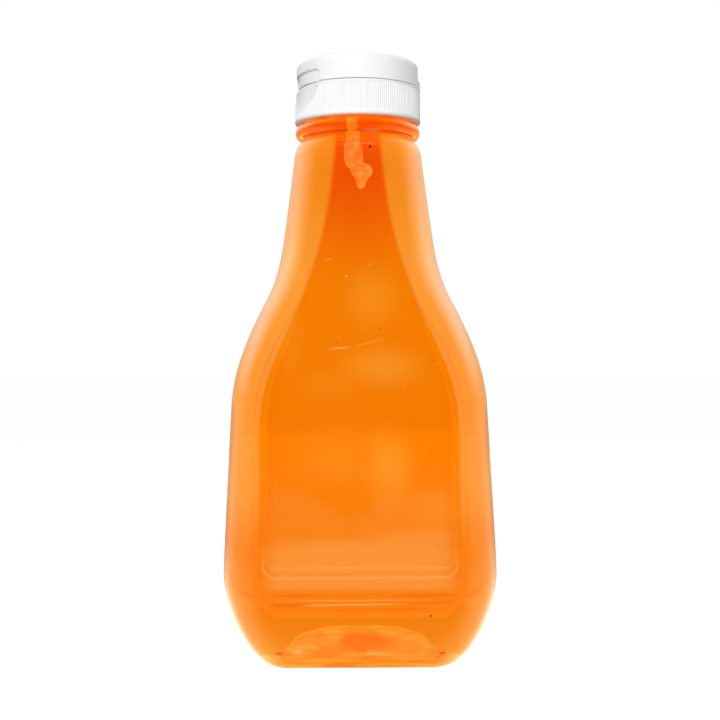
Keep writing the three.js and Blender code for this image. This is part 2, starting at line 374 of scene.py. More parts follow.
def profile(stations, z):
    """A smooth upward profile through stations of (height, value, slope)."""
    i = 0
    while i < len(stations) - 2 and z > stations[i + 1][0]:
        i += 1
    (z0, v0, m0), (z1, v1, m1) = stations[i], stations[i + 1]
    span = z1 - z0
    t = min(max((z - z0) / span, 0.0), 1.0)
    lead = t * (1 - t) ** 2 * span * m0
    trail = t * t * (t - 1) * span * m1
    return lerp(v0, v1, t * t * (3 - 2 * t)) + lead + trail


class Row:
    """One row of the body's surface: where it is, how wide, how round."""

    def __init__(self, z, half_width, half_depth, half_flat, roundness=0.0, panel=0.0, pull=0.0, sag=0.0):
        self.z = z
        self.half_width = half_width
        self.half_depth = half_depth
        self.half_flat = half_flat
        self.roundness = roundness
        self.panel = panel
        self.pull = pull
        self.sag = sag


def body_row(z, inset=0.0):
    low = smoothstep(z, PANEL_LOW_Z, PANEL_LOW_Z + PANEL_STEP)
    high = 1 - smoothstep(z, PANEL_FADE_Z, PANEL_HIGH_Z)
    rise = min(max(z - PANEL_LOW_Z, 0), PANEL_CORNER)
    return Row(
        z,
        profile(HALF_WIDTH, z) - inset,
        profile(HALF_DEPTH, z) - inset,
        profile(HALF_FLAT, z),
        roundness=smoothstep(z, FACE_ROUND_Z, NECK_ROUND_Z),
        panel=PANEL_DEPTH * low * high,
        pull=PANEL_CORNER - math.sqrt(PANEL_CORNER ** 2 - (PANEL_CORNER - rise) ** 2),
        sag=CREASE_SAG * (1 - smoothstep(z, CREASE_Z, SAG_FADE_Z)),
    )


def heel_row(angle, inset=0.0):
    power = 2 / HEEL_POWER
    drop = math.sin(angle) ** power
    reach = max(math.cos(angle), 0.0) ** power
    return Row(
        CREASE_Z - (CREASE_Z - inset) * drop,
        lerp(FOOT_HALF_WIDTH, WIDEST_HALF_WIDTH, reach) - inset,
        lerp(FOOT_HALF_DEPTH, DEEPEST_HALF_DEPTH, reach) - inset,
        lerp(FOOT_HALF_FLAT, CREASE_HALF_FLAT, reach),
        sag=CREASE_SAG * (1 - drop),
    )


def round_row(radius, z):
    return Row(z, radius, radius, 0.0, roundness=1.0)


PANEL_EDGE_STEPS = 5
FACE_STEPS = 9


def face_marks(row):
    """Places across the flat face, from its edge in, each with its share of the panel's depth."""
    edge = row.half_flat - PANEL_MARGIN - row.pull
    marks = [(lerp(row.half_flat, edge, 0.5), 0.0)]
    for i in range(PANEL_EDGE_STEPS + 1):
        share = i / PANEL_EDGE_STEPS
        marks.append((edge - PANEL_STEP * share, smoothstep(share, 0, 1)))
    inner = edge - PANEL_STEP
    for i in range(1, FACE_STEPS + 1):
        marks.append((inner * (1 - i / FACE_STEPS), 1.0))
    return marks


def quarter(row, corner_steps):
    """A quarter of a section, from the side (+X) to the middle of the face (+Y)."""
    points = []
    corner = row.half_width - row.half_flat
    power = 2 / CORNER_POWER
    for i in range(corner_steps + 1):
        share = i / corner_steps
        angle = math.radians(90 * share)
        x = row.half_flat + corner * abs(math.cos(angle)) ** power
        y = row.half_depth * math.sin(angle) ** power
        points.append((x, y, ROUND_FACE_ANGLE * share))
    marks = face_marks(row)
    for i, (x, panel) in enumerate(marks, 1):
        share = 1 - x / row.half_flat if row.half_flat > 0 else i / len(marks)
        points.append((x, row.half_depth - row.panel * panel, lerp(ROUND_FACE_ANGLE, 90, share)))
    done = []
    for x, y, angle in points:
        turn = math.radians(angle)
        round_x = row.half_width * math.cos(turn)
        round_y = row.half_depth * math.sin(turn)
        done.append((lerp(x, round_x, row.roundness), lerp(y, round_y, row.roundness)))
    return done


def section(row, corner_steps):
    """The whole section, turning from +X towards +Y, in metres."""
    part = quarter(row, corner_steps)
    back = part[:0:-1]
    outline = part[:-1] + [(-x, y) for x, y in back]
    outline += [(-x, -y) for x, y in part[:-1]] + [(x, -y) for x, y in back]
    ring = []
    for x, y in outline:
        towards_face = (y / row.half_depth) ** 2 if row.half_depth else 0.0
        ring.append(Vector((x, y, row.z - row.sag * towards_face)) * MM)
    return ring


HEEL_STEPS = 26
PUSH_UP_STEPS = 5


def push_up_curve():
    """The push-up's outline, smoothed between its marks."""
    curve = []
    for (s0, z0, out0), (s1, z1, out1) in zip(PUSH_UP, PUSH_UP[1:]):
        for i in range(PUSH_UP_STEPS):
            t = i / PUSH_UP_STEPS
            curve.append((lerp(s0, s1, t), lerp(z0, z1, t * t * (3 - 2 * t)), lerp(out0, out1, t)))
    curve.append(PUSH_UP[-1])
    return curve


def body_rows(inset):
    """Rows from the middle of the foot up to where the inside leaves the outside's shape."""
    foot = heel_row(math.pi / 2)
    rows = []
    for share, z, out in push_up_curve():
        share = max(share, PUSH_UP_MIDDLE)
        width, depth = foot.half_width * share + inset * out, foot.half_depth * share + inset * out
        rows.append(Row(z + inset, width, depth, foot.half_flat * share))
    for i in range(HEEL_STEPS - 1, -1, -1):
        rows.append(heel_row(math.radians(90 * i / HEEL_STEPS), inset))
    step = settings().body.row_height / MM
    heights = [CREASE_Z + (PANEL_LOW_Z - CREASE_Z) * i / 8 for i in range(1, 9)]
    heights += [PANEL_LOW_Z + PANEL_STEP * i / 4 for i in range(1, 5)]
    heights += [PANEL_LOW_Z + PANEL_STEP + (PANEL_CORNER - PANEL_STEP) * i / 6 for i in range(1, 7)]
    z = heights[-1] + step
    while z < BORE_ENTRY_Z:
        heights.append(z)
        z += step
    rows += [body_row(z, inset) for z in heights]
    return rows


def smooth_rounds(marks, steps=4):
    """More points between (radius, height) marks, on a smooth curve through them."""
    curve = []
    for i in range(len(marks) - 1):
        before = marks[max(i - 1, 0)]
        first, second = marks[i], marks[i + 1]
        after = marks[min(i + 2, len(marks) - 1)]
        for j in range(steps):
            t = j / steps
            point = []
            for a, b, c, d in zip(before, first, second, after):
                value = b + 0.5 * t * (c - a + t * (2 * a - 5 * b + 4 * c - d + t * (3 * (b - c) + d - a)))
                point.append(value)
            curve.append(tuple(point))
    curve.append(marks[-1])
    return curve


# Modelling by hand: edit mode, extruding, merging

def deselect_all():
    if bpy.context.object and bpy.context.object.mode != "OBJECT":
        bpy.ops.object.mode_set(mode="OBJECT")
    bpy.ops.object.select_all(action="DESELECT")


def pick(piece):
    deselect_all()
    piece.select_set(True)
    bpy.context.view_layer.objects.active = piece


def paint(piece, name, value):
    """A number on each vertex, worked out from its place and normal, for the piece's finish to read."""
    layer = piece.data.attributes.new(name, "FLOAT", "POINT")
    layer.data.foreach_set("value", [value(v.co / MM, v.normal) for v in piece.data.vertices])


def sink(piece, depth, value):
    """Moves each vertex in along its normal, by its share of a depth in millimetres."""
    moves = [v.normal * (depth * value(v.co / MM, v.normal) * MM) for v in piece.data.vertices]
    for vertex, move in zip(piece.data.vertices, moves):
        vertex.co -= move
    piece.data.update()


def raise_rings(name, rings):
    """A circle extruded from ring to ring, each moved onto its section; end rings may be points."""
    deselect_all()
    bpy.ops.mesh.primitive_circle_add(vertices=len(rings[0]), radius=BOTTLE_HIGH.x, fill_type="NOTHING")
    piece = bpy.context.object
    piece.name = piece.data.name = name
    bpy.ops.object.mode_set(mode="EDIT")
    mesh = bmesh.from_edit_mesh(piece.data)
    column = mesh.verts.layers.int.new("column")
    for i, vertex in enumerate(mesh.verts):
        vertex[column] = i
        vertex.co = rings[0][i]
    bmesh.update_edit_mesh(piece.data)
    for ring in rings[1:]:
        bpy.ops.mesh.extrude_region_move(TRANSFORM_OT_translate={"value": (0, 0, 0.001)})
        mesh = bmesh.from_edit_mesh(piece.data)
        column = mesh.verts.layers.int["column"]
        mesh.verts.ensure_lookup_table()
        for vertex in reversed(mesh.verts):
            if not vertex.select:
                break
            vertex.co = ring[vertex[column]]
        bmesh.update_edit_mesh(piece.data)
    bpy.ops.mesh.select_all(action="SELECT")
    bpy.ops.mesh.remove_doubles(threshold=1e-6)
    bpy.ops.mesh.normals_make_consistent(inside=False)
    bpy.ops.object.mode_set(mode="OBJECT")
    piece.data.attributes.remove(piece.data.attributes["column"])
    return piece


def join(parts, name):
    """One piece out of several."""
    pick(parts[0])
    for part in parts:
        part.select_set(True)
    bpy.ops.object.join()
    piece = bpy.context.object
    piece.name = piece.data.name = name
    return piece


def shade(piece, angle=None):
    pick(piece)
    if angle is None:
        bpy.ops.object.shade_smooth()
    else:
        bpy.ops.object.shade_smooth_by_angle(angle=math.radians(angle))


def finish_piece(piece, finishes, node):
    """Puts the finished piece on the frame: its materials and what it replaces."""
    piece.data.materials.clear()
    for finish in finishes:
        piece.data.materials.append(finish.material)
    if node:
        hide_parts(node)
    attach(piece, "root")
    return piece


def point_ring(z, count):
    return [Vector((0, 0, z * MM))] * count


# Marks on the blown wall, each as a share from 0 to 1: the crease's groove, and painted light and painted
# shade

EDGE_LINE_INSET = 2.0
EDGE_LINE_HALF = 0.4
EDGE_LINE_FADE_Z = 95
EDGE_LINE_HIGH_Z = 160
# Softness of the painted side light's edge
SIDE_LIGHT_SOFTNESS = 1.2
PANEL_LINE_GAP = 2.5
PANEL_LINE_HALF = 0.35
BACK_CREASE = 0.3
# Half width of the painted shade line where the flat face meets the side
FLAT_SHADE_LINE_HALF = 0.45
NECK_LOW_Z = 161.5
FOOT_Z = 14


def ridge(value, middle, half):
    """1 at the middle of a line, falling to 0 at half its width from there."""
    return max(0.0, 1 - ((value - middle) / half) ** 2)


def is_outside(place, normal):
    """Whether a point of the wall is on its outer surface."""
    if place.z < FOOT_Z:
        return normal.z < 0
    return normal.x * place.x + normal.y * place.y > -0.3 * math.hypot(place.x, place.y)


def on_outside(value, high_z=math.inf):
    """A share on the wall's outer surface up to a height, and 0 elsewhere."""
    def share(place, normal):
        return value(place) if is_outside(place, normal) and place.z <= high_z else 0.0
    return share


def row_height(place):
    """The height of the row that a point of the body is on, before the row's dip towards the faces."""
    if place.z > SAG_FADE_Z:
        return place.z
    height = place.z
    for _ in range(4):
        if height < CREASE_Z:
            dip, depth = CREASE_SAG * max(height, 0) / CREASE_Z, DEEPEST_HALF_DEPTH
        else:
            dip = CREASE_SAG * (1 - smoothstep(height, CREASE_Z, SAG_FADE_Z))
            depth = profile(HALF_DEPTH, height)
        height = place.z + dip * min(abs(place.y) / depth, 1) ** 2
    return height


def half_width_at(height):
    """Half the body's width at a row's height, on the heel too."""
    if height > CREASE_Z:
        return profile(HALF_WIDTH, height)
    drop = min(max(1 - height / CREASE_Z, 0), 1) ** (HEEL_POWER / 2)
    return lerp(FOOT_HALF_WIDTH, WIDEST_HALF_WIDTH, math.sqrt(max(1 - drop ** 2, 0)) ** (2 / HEEL_POWER))


def edge_line(place):
    """The fine darker line painted just inside the sides, which turns in at its foot to meet the crease."""
    height = row_height(place)
    if height < CREASE_Z or height > EDGE_LINE_HIGH_Z:
        return 0.0
    inward = profile(HALF_WIDTH, height) - abs(place.x)
    turn = 1 - smoothstep(height, CREASE_Z - 1, CREASE_Z + 8)
    fade = lerp(1, 0.35, smoothstep(height, EDGE_LINE_FADE_Z, EDGE_LINE_FADE_Z + 30))
    fade *= 1 - smoothstep(height, EDGE_LINE_HIGH_Z - 12, EDGE_LINE_HIGH_Z)
    return fade * ridge(inward, EDGE_LINE_INSET + 9 * turn ** 2, EDGE_LINE_HALF * (1 + 5 * turn))


def flat_shade_line(place):
    """The thin dark line of painted shade where the flat face meets the rounded side."""
    height = row_height(place)
    if height < CREASE_Z + 6 or height > NECK_LOW_Z:
        return 0.0
    return ridge(abs(place.x), profile(HALF_FLAT, min(height, SHOULDER_TOP_Z)), FLAT_SHADE_LINE_HALF)


def crease_groove(place):
    """The shallow groove of the crease across the faces, fading towards the sides."""
    across = (1 - smoothstep(abs(place.x), 27, 33)) * (1.0 if place.y < 0 else BACK_CREASE)
    return across * ridge(row_height(place), CREASE_Z - 0.6, 0.9)


def dark_line(place):
    """All the painted dark lines: the fine line just inside the sides, and the line of painted shade where
    the flat face meets the rounded side.
    """
    return max(0.7 * edge_line(place), 0.3 * flat_shade_line(place))


def side_light_share(place):
    """Painted light: the paler glow of the rounded sides, beside the flat faces, and of the heel's ends."""
    height = row_height(place)
    inward = half_width_at(height) - abs(place.x)
    heel = (1 - smoothstep(inward, 2, 15)) * (1 - smoothstep(height, 24, 45))
    flat = profile(HALF_FLAT, min(height, SHOULDER_TOP_Z))
    beside = smoothstep(abs(place.x), flat - 0.4, flat + SIDE_LIGHT_SOFTNESS) if height > CREASE_Z else 0.0
    return max(heel, beside * smoothstep(place.z, 32, 60))


def edge_light_share(place):
    """Painted light: the palest glow, right at the ends of the heel."""
    height = row_height(place)
    inward = half_width_at(height) - abs(place.x)
    return (1 - smoothstep(inward, 0, 5)) * (1 - smoothstep(height, 20, 45))


def pale_light_share(place):
    """Painted light: the paler band of the front face over the crease, and the fainter one over it."""
    if place.y > 0:
        return 0.0
    height = row_height(place)
    inside = 1 - smoothstep(abs(place.x), 23, 32)
    slant = 0.07 * place.x
    low = smoothstep(height, 28.5, 31)
    band = 1 - smoothstep(height, 43 + slant, 45.5 + slant)
    notch = 56 - 0.5 * max(14 - abs(place.x + 3), 0)
    return inside * low * max(band, 0.3 * (1 - smoothstep(height, notch - 2, notch + 2)))


def panel_reach(place, height):
    """How far inside the label panel's rounded outline a point of the face is, in millimetres."""
    across = profile(HALF_FLAT, height) - PANEL_MARGIN - abs(place.x)
    up = height - PANEL_LOW_Z
    if across < PANEL_CORNER and up < PANEL_CORNER:
        return PANEL_CORNER - math.hypot(PANEL_CORNER - across, PANEL_CORNER - up)
    return min(across, up)


def panel_highlight_line(place):
    """Painted highlights: the two bright lines along the lower edge of the label panel."""
    if place.y > 0:
        return 0.0
    height = row_height(place)
    reach = panel_reach(place, height)
    panel = max(ridge(reach, 0, PANEL_LINE_HALF), ridge(reach, PANEL_LINE_GAP, PANEL_LINE_HALF))
    low = 1 - smoothstep(height, PANEL_LOW_Z + 2, PANEL_LOW_Z + 2 * PANEL_CORNER)
    return 0.32 * panel * low


# Materials

BLACK = (0.0, 0.0, 0.0, 1.0)
CLEAR_IOR = 1.52
CAP_IOR = 1.49
TOUCHING = {"Transmission_Weight": 1.0, "IOR": 1.01, "Roughness": 0.0, "Specular_Tint": BLACK}
# Opaque honey over the push-up and at the foot's rim, which shows mostly by its painted glow
OPAQUE_HONEY = {"Base_Color": (0.5, 0.12, 0.01, 1), "Roughness": 0.5, "Specular_IOR_Level": 0.0}
# Tint of the painted dark lines on the wall, and of its strokes of painted shade
DARK_LINE_TINT = (0.96, 0.34, 0.06)
# Painted highlights: glow of the panel's bright lines, the crease's highlights and the scratches
PAINTED_HIGHLIGHT = (0.25, 0.3, 0.14)
# Painted light: weak glows of the rounded sides, higher up, at the heel's ends and in the pale band over the
# crease
SIDE_GLOW = (0.03, 0.09, 0.032)
HIGH_SIDE_GLOW = (0.03, 0.095, 0.01)
EDGE_GLOW = (0.06, 0.22, 0.18)
PALE_GLOW = (0.02, 0.085, 0.034)
# Painted shade and painted light in the neck: a redder tint, dark lines, a glow and light lines
NECK_SHADE_TINT = (1.0, 0.7, 0.25)
NECK_SHADE = (0.9, 0.2, 0.01)
NECK_GLOW = (0.3, 0.065, 0.0)
NECK_HIGHLIGHT = (0.25, 0.2, 0.04)
NECK_GLOSS = (1.0, 0.78, 0.25, 1.0)
GLOSS_TINT = (1.0, 0.92, 0.58, 1.0)
HONEY_TINT = (1.0, 0.965, 0.94)
# Painted shade: the darker, redder honey through the narrow part of the flat faces
FUNNEL_SHADE_TINT = (0.96, 0.3, 0.5)
# Painted light: the glow of pale patches near the front
PATCH_GLOW = (0.02, 0.09, 0.016)
# Painted light and painted shade of the glowing honey over the push-up
BOTTOM_DEEP_GLOW = (0.93, 0.5, 0.2)
BOTTOM_NEAR_GLOW = (0.93, 0.32, 0.05)
BOTTOM_PAINTED_LIGHT = (1.0, 0.75, 0.4)
BOTTOM_PAINTED_SHADE = (0.88, 0.19, 0.01)
BOTTOM_END_GLOW = (0.92, 0.24, 0.02)
# Painted light and painted shade of the glowing honey at the foot's rim
RIM_PAINTED_LIGHT = (0.93, 0.29, 0.02)
RIM_PAINTED_SHADE = (0.88, 0.17, 0.0)
RIM_END_GLOW = (0.95, 0.36, 0.08)
# Painted light: the glow of the bubbles' skin, deep orange with pale glints
BUBBLE_DEEP_GLOW = (0.94, 0.33, 0.01)
BUBBLE_GLINT_GLOW = (1.0, 0.55, 0.08)
CAP_GLOSS = (0.4, 0.4, 0.4, 1.0)

# Fine marks on the front face, in millimetres: light scratches and painted highlights along the crease, then
# strokes of painted shade at the crease, the panel's corner and the foot: (middle across, half length,
# height, slope, half width, strength)
SCRATCHES_AND_HIGHLIGHTS = [
    (-5.8, 3.7, 99.3, 0.1, 0.2, 0.6), (3.4, 5.5, 101, 0.28, 0.16, 0.25),
    (34.5, 2.2, 74.2, -0.05, 0.15, 0.3), (-9.5, 1.4, 126.5, 0.3, 0.15, 0.3),
    (-2, 27, 22.1, 0, 0.2, 0.35), (-3, 19, 20.8, 0.01, 0.2, 0.6),
]
SHADE_STROKES = [
    (24.4, 2.2, 4.2, 1.1, 0.35, 0.9), (-24.3, 0.9, 4.6, -2.4, 0.3, 0.6), (21, 0.25, 33.6, 6.0, 0.16, 0.5),
    (-20.5, 4, 2.3, -0.05, 0.25, 0.4), (19, 5, 2.6, 0.03, 0.3, 0.7), (0, 24, 0.5, 0, 0.3, 0.5),
    (-19, 9, 23.7, 0.01, 0.3, 0.7), (19, 13, 23.5, 0.02, 0.35, 0.6), (-22, 7, 20.7, 0, 0.45, 0.85),
    (6, 26, 19.3, 0.01, 0.4, 0.4), (22, 9, 21.3, 0.02, 0.3, 0.5),
]


def marked(finish, marks):
    """Where fine straight marks are on the front, as a share."""
    x, y, z = finish.axes()
    share = 0
    for middle, half, height, slope, thick, strength in marks:
        along = x - middle
        off = z - height - slope * along
        line = 1 - off.size().between(0, 2 * thick * math.hypot(1, slope))
        ends = 1 - along.size().between(half * 0.4, half)
        share = share + strength * (line * ends)
    return share * (1 - y.between(-5, 0))


def clear_wall_finish():
    """Clear blown plastic: glossy, faintly wavy, with fine rubbing marks and scratches, painted dark lines,
    strokes of painted shade, painted highlights, and a painted glow on its rounded sides, the heel's ends
    and the pale band over the crease.
    """
    finish = Finish("clear blown plastic", Transmission_Weight=1.0, IOR=CLEAR_IOR, Specular_Tint=GLOSS_TINT)
    tint = settings().finish.wall_tint
    rubbed = finish.noise(260, 3, 0.6, finish.stretched((1, 1, 0.12)))
    clear = finish.blend(rubbed, tint, [0.985 * c for c in tint])
    streaks = finish.noise(150, 3, 0.55, finish.stretched((1, 0.3, 0.06)))
    # Painted light: the wall glows paler on its rounded sides, higher up, at the heel's ends and in the band
    # over the crease
    side_light_colour = finish.blend(finish.axis("Z").between(118 * MM, 150 * MM), SIDE_GLOW, HIGH_SIDE_GLOW)
    glow = finish.blend(finish.painted("side") * (0.6 + 0.8 * streaks), BLACK, side_light_colour)
    glow = finish.blend(finish.painted("edge"), glow, EDGE_GLOW)
    glow = finish.blend(finish.painted("pale") * (0.8 + 0.4 * streaks), glow, PALE_GLOW)
    finish.set(
        # Painted shade: the painted dark lines and strokes tint the clear wall
        Base_Color=finish.blend(finish.painted("line") + marked(finish, SHADE_STROKES), clear, DARK_LINE_TINT),
        Roughness=0.01 + 0.02 * rubbed.between(0.55, 0.85),
    )
    # Painted highlights: the panel's bright lines, the crease's highlights and the scratches glow
    finish.glow(finish.blend(finish.painted("light") + marked(finish, SCRATCHES_AND_HIGHLIGHTS), glow, PAINTED_HIGHLIGHT))
    wavy = finish.noise(38, 1, 0.4, finish.stretched((1, 1, 0.45)))
    finish.set(Normal=finish.bump(wavy, 0.0004, 0.6))
    return finish


def neck_finish():
    """The thick clear neck and ring, with painted shade and painted light: a redder tint, dark lines and
    shade under the cap, and a glow and light lines running unevenly round it.
    """
    finish = Finish("clear blown neck", Transmission_Weight=1.0, IOR=CLEAR_IOR, Specular_Tint=NECK_GLOSS)
    finish.set(Roughness=0.01)
    lines = finish.noise(1, 3, 0.65, finish.stretched((60, 60, 900)))
    wider = finish.noise(1, 2, 0.5, finish.stretched((30, 30, 320)))
    rise = finish.axis("Z").between((NECK_LOW_Z + 0.5) * MM, 167 * MM)
    # Painted shade: dark lines round the neck, and shade just under the cap
    dark = (0.8 * rise) * (lines.between(0.52, 0.66) + 0.5 * wider.between(0.5, 0.65))
    shade_under_cap = finish.axis("Z").between(171.3 * MM, 174 * MM)
    tint = finish.blend(rise, settings().finish.wall_tint, NECK_SHADE_TINT)
    # Painted light: a glow of the neck, and the paler sides below it
    glow = finish.blend(rise, finish.blend(finish.painted("side"), BLACK, HIGH_SIDE_GLOW), NECK_GLOW)
    finish.set(
        Base_Color=finish.blend(dark + 0.4 * shade_under_cap, tint, NECK_SHADE),
        Normal=finish.bump(wider, 0.0003, 0.6),
    )
    # Painted highlights: light lines running round the neck
    finish.glow(finish.blend((0.3 + 0.7 * rise) * (1 - lines).between(0.52, 0.68), glow, NECK_HIGHLIGHT))
    return finish


def inner_wall_finish():
    """The wetted inside of the wall, which reflects nothing because the honey touches it."""
    finish = Finish("wetted inner wall", **TOUCHING)
    film = finish.noise(60, 2, 0.5)
    finish.set(Base_Color=finish.blend(film, (1, 1, 1), (0.99, 0.985, 0.98)))
    return finish


def honey_finish():
    """Clear orange honey, which takes more of the blue and green the deeper it is, with painted shade
    through the narrow part of the flat faces and a painted glow in pale patches near the front.
    """
    finish = Finish("clear orange honey", **TOUCHING)
    # Painted shade: darker and redder through the narrow part of the flat faces
    finish.set(Base_Color=finish.blend(finish.painted("funnel_shade"), HONEY_TINT, FUNNEL_SHADE_TINT))
    uneven = finish.noise(55, 3, 0.5, finish.stretched((1, 0.4, 0.8)))
    # Painted light: pale patches near the front glow
    finish.glow(finish.blend(finish.painted("patch_glow") * (0.6 + 0.8 * uneven), BLACK, PATCH_GLOW))
    volume = finish.tree.nodes.new("ShaderNodeVolumeAbsorption")
    volume.inputs["Color"].default_value = (*settings().finish.honey_clear, 1.0)
    volume.inputs["Density"].default_value = settings().finish.honey_density
    finish.tree.links.new(volume.outputs[0], finish.output.inputs["Volume"])
    return finish


def bubble_finish():
    """The skin of an air bubble in honey: uneven and half clear, with a painted glow of deep orange and pale
    painted glints.
    """
    finish = Finish("glowing bubble skin", Base_Color=(0.2, 0.05, 0.01, 1), Roughness=0.3)
    froth = finish.noise(700, 3, 0.6, finish.stretched((1, 1, 0.6)))
    lump = 1 - finish.axis("Z").between((BUBBLE_LUMP_Z - 1) * MM, (BUBBLE_LUMP_Z + 1) * MM)
    # Painted glints: the paler froth glows
    finish.glow(finish.blend(froth.between(0.38, 0.62), BUBBLE_DEEP_GLOW, BUBBLE_GLINT_GLOW))
    finish.set(
        Alpha=0.6 + 0.2 * lump + 0.2 * froth.between(0.45, 0.6),
        Normal=finish.bump(froth, 0.0003, 0.6),
    )
    return finish


def bottom_finish():
    """Honey lying on the push-up, as an opaque surface with painted light: it glows as if lit from below,
    with painted light and dark marks and a darker patch of painted shade.
    """
    finish = Finish("glowing honey over the push-up", **OPAQUE_HONEY)
    x, y, z = finish.axes()
    forward = y.size()
    uneven = finish.noise(140, 3, 0.6)
    glow = finish.blend(forward.between(6, 17), BOTTOM_DEEP_GLOW, BOTTOM_NEAR_GLOW)
    glow = finish.blend(1 - (forward + 3 * uneven).between(3, 7), glow, BOTTOM_PAINTED_LIGHT)
    mottled = finish.noise(230, 3, 0.55, finish.stretched((0.6, 1, 1)))
    glow = finish.blend(0.45 * mottled.between(0.5, 0.68), glow, BOTTOM_PAINTED_LIGHT)
    glow = finish.blend(0.4 * (1 - mottled).between(0.5, 0.68), glow, BOTTOM_PAINTED_SHADE)
    # Painted shade: a darker patch over the middle of the push-up
    across, up = (x - 1.2) * (1 / 8), (z - 8.2) * (1 / 3)
    shaded_patch = 1 - (across * across + up * up + 0.8 * uneven).between(0.7, 1.9)
    glow = finish.blend(0.8 * shaded_patch * forward.between(6, 10), glow, BOTTOM_PAINTED_SHADE)
    finish.glow(finish.blend(x.size().between(19, 24) * (1 - z.between(4, 7)), glow, BOTTOM_END_GLOW))
    return finish


def rim_finish():
    """Honey at the foot's rim, where the thick curved wall shows only streaks of light running round it,
    painted here as a glow of light and dark streaks.
    """
    finish = Finish("glowing honey at the foot's rim", **OPAQUE_HONEY)
    stripes = finish.noise(1, 3, 0.6, finish.stretched((50, 50, 700)))
    glow = finish.blend(stripes.between(0.38, 0.62), RIM_PAINTED_SHADE, RIM_PAINTED_LIGHT)
    sideways = finish.axes()[0].size()
    finish.glow(finish.blend(sideways.between(24, 32), glow, RIM_END_GLOW))
    return finish


def speck_finish():
    """A dark brown grain of comb or dust."""
    finish = Finish("dark speck", Roughness=0.6)
    grain = finish.noise(3000, 2)
    finish.set(Base_Color=finish.blend(grain, (0.09, 0.012, 0.003), (0.2, 0.03, 0.006)))
    return finish


def cap_finish(name, roughness):
    """White moulded plastic with a satin gloss."""
    finish = Finish(name, IOR=CAP_IOR, Specular_Tint=CAP_GLOSS)
    white = settings().finish.cap_white
    mottled = finish.noise(140, 4, 0.6)
    finish.set(
        Base_Color=finish.blend(mottled, white, [0.975 * c for c in white]),
        Roughness=roughness + 0.12 * mottled.between(0.35, 0.75),
    )
    grain = finish.noise(2600, 2, 0.5)
    finish.set(Normal=finish.bump(grain, 0.00002, 0.5))
    return finish


# Operators: one for each piece, and one for the stage

LINE_DEPTH = 0.15
# Painted light and painted shade on the wall's outer surface: dark lines, highlights and glows
WALL_LIGHT_AND_SHADE = {
    "line": on_outside(dark_line),
    "light": on_outside(panel_highlight_line, SAG_FADE_Z),
    "side": on_outside(side_light_share),
    "edge": on_outside(edge_light_share, SAG_FADE_Z),
    "pale": on_outside(pale_light_share, SAG_FADE_Z),
}


class MESH_OT_bottle_wall(bpy.types.Operator):
    """The blown bottle: push-up, heel, crease, label panels, shoulder, transfer ring and neck."""

    bl_idname = "mesh.squeeze_bottle_wall"
    bl_label = "Bottle Wall"

    def execute(self, context):
        sizes = settings().body
        wall = sizes.wall / MM
        outside = body_rows(0)
        outside += [body_row(z) for z in NECK_ROWS]
        outside += [round_row(r, z) for r, z in smooth_rounds(SHOULDER_ROUND, 3)]
        outside += [round_row(r, z) for r, z in smooth_rounds(RING, 4)]
        outside += [round_row(r, z) for r, z in NECK_TOP]
        inside = body_rows(wall)
        inside += [round_row(r, z) for r, z in smooth_rounds(BORE_ENTRY, 3)]
        inside += [round_row(BORE_RADIUS, MOUTH_Z)]
        rows = outside + inside[::-1]
        rings = [section(row, sizes.corner_steps) for row in rows]
        piece = raise_rings("bottle_wall", rings)
        sink(piece, LINE_DEPTH, on_outside(crease_groove, SAG_FADE_Z))
        for name, value in WALL_LIGHT_AND_SHADE.items():
            paint(piece, name, value)
        shade(piece)
        finishes = [clear_wall_finish(), inner_wall_finish(), neck_finish()]
        finish_piece(piece, finishes, "bottle")
        for face in piece.data.polygons:
            if not is_outside(face.center / MM, face.normal):
                face.material_index = 1
            elif face.center.z > NECK_LOW_Z * MM:
                face.material_index = 2
        return {"FINISHED"}


# Where the painted shade through the flat faces begins, where it is full, and how soft its edge is
FUNNEL_SHADE_LOW_Z = 110
FUNNEL_SHADE_FULL_Z = 160
FUNNEL_SHADE_EDGE = 0.8
PUSH_UP_HIGH_Z = 14
RIM_Z = 4.4

# Pale patches of painted light near the front: (across, height, half width, half height, strength) in
# millimetres
GLOW_PATCHES = [
    (7, 93.5, 14, 7, 1.0), (8.9, 62.9, 8, 13, 1.0), (4, 114.9, 9, 11, 0.55), (-5, 67, 17, 12, 0.35),
    (-9, 88, 12, 6, 0.35), (-21, 101, 5, 14, 0.3), (24, 50, 8, 8, 0.4),
]


def funnel_shade_share(place, normal):
    """Painted shade: how much darker and redder the honey is painted through the narrow part of the flat
    faces.
    """
    half = profile(HALF_FLAT, min(place.z, SHOULDER_TOP_Z))
    inside = 1 - smoothstep(abs(place.x), half - FUNNEL_SHADE_EDGE, half + FUNNEL_SHADE_EDGE)
    return inside * smoothstep(place.z, FUNNEL_SHADE_LOW_Z, FUNNEL_SHADE_FULL_Z)


def patch_glow_share(place, normal):
    """Painted light: how strongly the honey glows in pale patches near the front."""
    share = 0.0
    for x, z, half_width, half_height, strength in GLOW_PATCHES:
        away = math.hypot((place.x - x) / half_width, (place.z - z) / half_height)
        share = max(share, strength * (1 - smoothstep(away, 0, 1.3)))
    return share if place.y < 0 else 0.0


def is_on_push_up(place, normal):
    """Whether a face of the honey lies on the push-up or the flat foot round it."""
    return place.z < PUSH_UP_HIGH_Z and normal.z < -0.1 and normal.x * place.x + normal.y * place.y < 0.5


